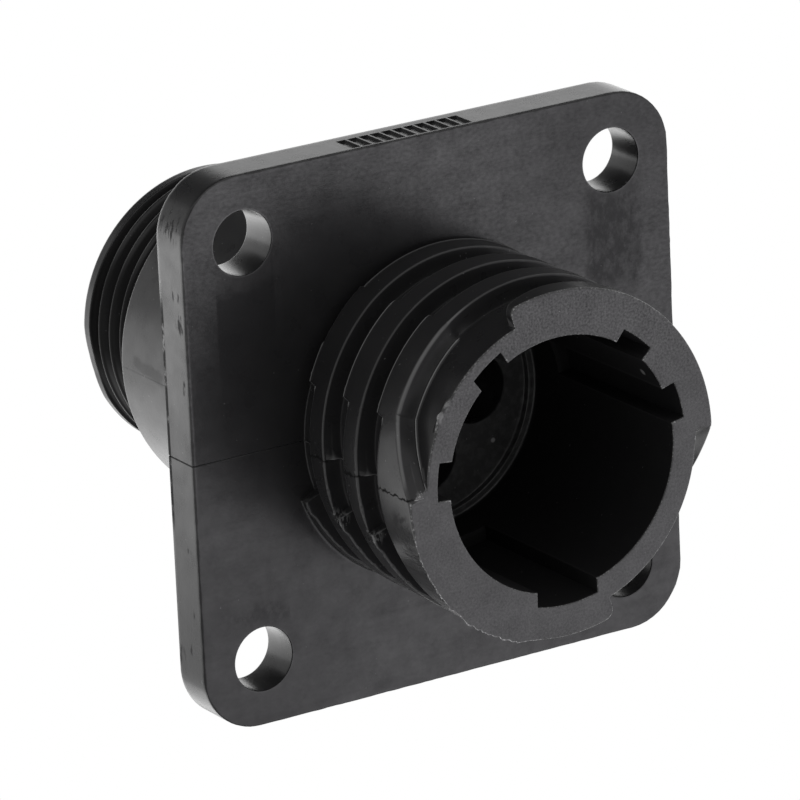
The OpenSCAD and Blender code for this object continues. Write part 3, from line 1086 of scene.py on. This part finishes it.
# Painted shade: the rear line, the socket's wall and much of the tail's thread are mixed towards matt
# black; the crack is mixed so because it has no sheen.
bare_and_shaded = weighted(
    (0.95, crack), (0.75, shaded_rear_line), (0.4, shaded_bore), (0.4, (1 - tail_low) * flank),
    (1, (0.6 - 0.2 * tail_low) * tips * (1 - tail_high)),
)
matt = tree.node("ShaderNodeBsdfDiffuse", {}, {"Color": CRACK_AND_SHADE_BLACK})
finish = tree.node("ShaderNodeMixShader", {}, {0: bare_and_shaded, 1: plastic, 2: matt})
tree.node("ShaderNodeOutputMaterial", {}, {"Surface": finish})
housing.data.materials.clear()
housing.data.materials.append(black)
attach(housing, "root")
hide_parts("housing")
print("material nodes:", len(tree.nodes))

# %% [markdown]
# ## Floor
#
# The photograph is a product picture on white, and the part seems to float, as it is held by its
# flange in use. So the floor lies well below it. A floor lit by the lamps would show its grey
# edge in views from above. It is white to the camera instead, and a plain matt floor to the part.

# %% Floor
FLOOR_SIZE, FLOOR_DEPTH = 0.2, 0.35
FLOOR_GREY, WHITE = (0.85, 0.85, 0.85, 1), (1, 1, 1, 1)


def sheet(name, middle, right, up, material):
    """A flat stage piece: its middle and the vectors from there to its right and upper sides."""
    middle, right, up = np.array(middle), np.array(right), np.array(up)
    corners = [middle - right - up, middle + right - up, middle + right + up, middle - right + up]
    mesh = bpy.data.meshes.new(name)
    mesh.from_pydata(corners, [], [(0, 1, 2, 3)])
    mesh.materials.append(material)
    made = bpy.data.objects.new(name, mesh)
    bpy.context.scene.collection.objects.link(made)
    made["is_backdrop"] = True


pale_floor = bpy.data.materials.new("pale_floor")
tree = Tree(pale_floor)
place = tree.node("ShaderNodeTexCoord", out="Object")
speckle = tree.node("ShaderNodeTexNoise", {}, {"Vector": place, "Scale": 60.0, "Detail": 2.0})
matt_floor = {"Base Color": FLOOR_GREY, "Roughness": 0.7 + 0.1 * speckle}
matt = tree.node("ShaderNodeBsdfPrincipled", {}, matt_floor)
seen = tree.node("ShaderNodeLightPath", out="Is Camera Ray")
white = tree.node("ShaderNodeEmission", {}, {"Color": WHITE, "Strength": 1.0})
seamless = tree.node("ShaderNodeMixShader", {}, {0: seen, 1: matt, 2: white})
tree.node("ShaderNodeOutputMaterial", {}, {"Surface": seamless})
sheet("floor", (0, 0, -FLOOR_DEPTH), (FLOOR_SIZE, 0, 0), (0, FLOOR_SIZE, 0), pale_floor)
print("floor:", 2 * FLOOR_SIZE, "m square,", FLOOR_DEPTH, "m below the axis")

# %% [markdown]
# ## Black cards
#
# In a photo studio, black cards shape the reflections on a glossy black thing. One hangs high
# behind the part and another one stands behind the camera. They put the dark bands on the round
# corners and in the holes, and keep the thread's flanks dark. Only reflections see them, so that
# they neither show in another view nor shade the part.

# %% Black cards
CARD_BLACK = (0.01, 0.01, 0.01, 1)
black_card = bpy.data.materials.new("black_card")
tree = Tree(black_card)
mirrored = tree.node("ShaderNodeLightPath", out="Is Glossy Ray")
clear = tree.node("ShaderNodeBsdfTransparent")
dark = tree.node("ShaderNodeBsdfDiffuse", {}, {"Color": CARD_BLACK})
seen_in_sheen = tree.node("ShaderNodeMixShader", {}, {0: mirrored, 1: clear, 2: dark})
tree.node("ShaderNodeOutputMaterial", {}, {"Surface": seen_in_sheen})
sheet("high_card", (0.06, 0.4, 0.45), (0.39, 0, 0), (0, -0.18, 0.16), black_card)
sheet("camera_card", (-0.35, -0.57, 0.22), (0.2, -0.13, 0), (0, 0, 0.2), black_card)

# %% [markdown]
# ## World and lamps
#
# The world is white for the camera and for reflections, and lights the object more softly. Three
# large soft lamps do the rest: one low in front on the right, whose reflection makes the flange
# and the rim grey, one low behind on the left for the sides that face away, and a weak one behind
# on the right for the top. Small lamps would draw hard spots on the round barrel.

# %% World
SOFT_LIGHT, FULL_WHITE = 0.5, 1.0
world = bpy.data.worlds.new("studio")
bpy.context.scene.world = world
tree = Tree(world)
path = tree.node("ShaderNodeLightPath").socket.node
rays = ("Is Camera Ray", "Is Glossy Ray", "Is Transmission Ray")
seen, mirrored, through = (Value(tree, path.outputs[name]) for name in rays)
soft = tree.node("ShaderNodeBackground", {}, {"Color": WHITE, "Strength": SOFT_LIGHT})
white = tree.node("ShaderNodeBackground", {}, {"Color": WHITE, "Strength": FULL_WHITE})
shown = seen.math("MAXIMUM", seen.math("MAXIMUM", seen, mirrored), through)
mixed = tree.node("ShaderNodeMixShader", {}, {0: shown, 1: soft, 2: white})
tree.node("ShaderNodeOutputWorld", {}, {"Surface": mixed})
print("world nodes:", len(tree.nodes))


# %% Lamps
def lamp(name, place, size, watts, colour=(1, 1, 1)):
    """A square area lamp that faces the object."""
    light = bpy.data.lights.new(name, "AREA")
    light.energy, light.size, light.color = watts, size, colour
    made = bpy.data.objects.new(name, light)
    made.location = place
    made.rotation_mode = "QUATERNION"
    made.rotation_quaternion = (-Vector(place)).to_track_quat("-Z", "Y")
    bpy.context.scene.collection.objects.link(made)


lamp("front", (0.225, -0.365, -0.14), 0.45, 1.16, (0.97, 0.95, 1.0))
lamp("behind", (-0.135, 0.365, -0.2), 0.5, 1.0)
lamp("top", (0.26, 0.36, 0.05), 0.3, 0.17)

# %% Sizes and finish
bpy.context.scene.view_settings.view_transform = "Standard"
boxes = {"cad": [list(v) for v in cad_box], "visual": [list(v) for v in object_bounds()]}
for name, (low, high) in boxes.items():
    print(name, "from", [round(v, 5) for v in low], "to", [round(v, 5) for v in high])
